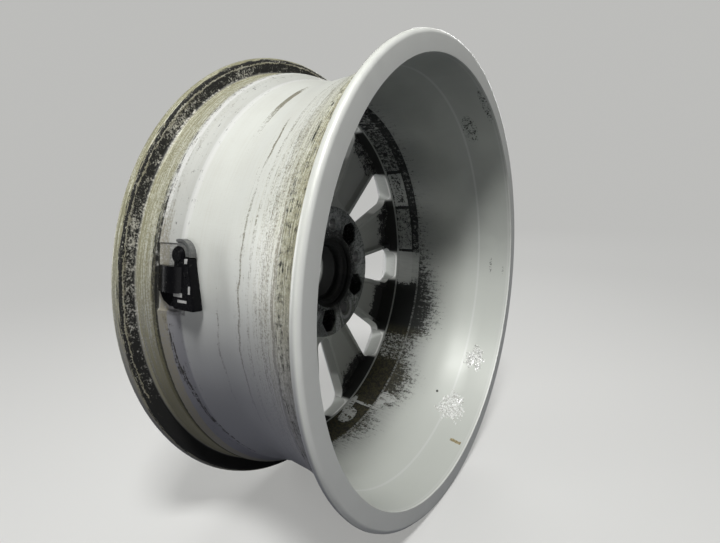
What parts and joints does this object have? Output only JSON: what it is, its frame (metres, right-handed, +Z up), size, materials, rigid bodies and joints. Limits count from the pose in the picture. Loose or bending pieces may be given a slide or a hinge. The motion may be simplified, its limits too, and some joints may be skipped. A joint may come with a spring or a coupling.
{
  "type": "car wheel",
  "caption": "Cast alloy road wheel for a passenger car, with straight hollow-backed spokes, a drop-centre barrel, a valve and a tyre pressure sensor.",
  "frame": {"origin": "centre of the rim, on the wheel's axis and midway between the outer faces of the two flanges", "axes": "+Y along the wheel's axis towards the inboard (brake) side, -Y towards the styled side, +Z up; the valve is 8.5 degrees above +X"},
  "size_m": [0.4712, 0.1982, 0.471],
  "materials": {
    "wheel": "silver lacquer, satin, stained with brake dust",
    "sensor_shell": "black moulded plastic",
    "sensor_base": "dark plastic",
    "board": "green laminate",
    "battery": "plain",
    "clip": "grey plastic",
    "stem": "plain anodised",
    "grommet": "black",
    "washer": "natural white",
    "nut": "nickel plated",
    "core": "plain",
    "cap": "black"
  },
  "bodies": {
    "root": {"wheel_casting": "wheel", "sensor_case": "sensor_shell", "sensor_lid": "sensor_base", "circuit_board": "board", "battery_cell": "battery", "retaining_clip": "clip", "valve_stem": "stem", "valve_grommet": "grommet", "valve_washer": "washer", "valve_nut": "nut", "valve_core": "core", "valve_cap": "cap"}
  },
  "joints": []
}
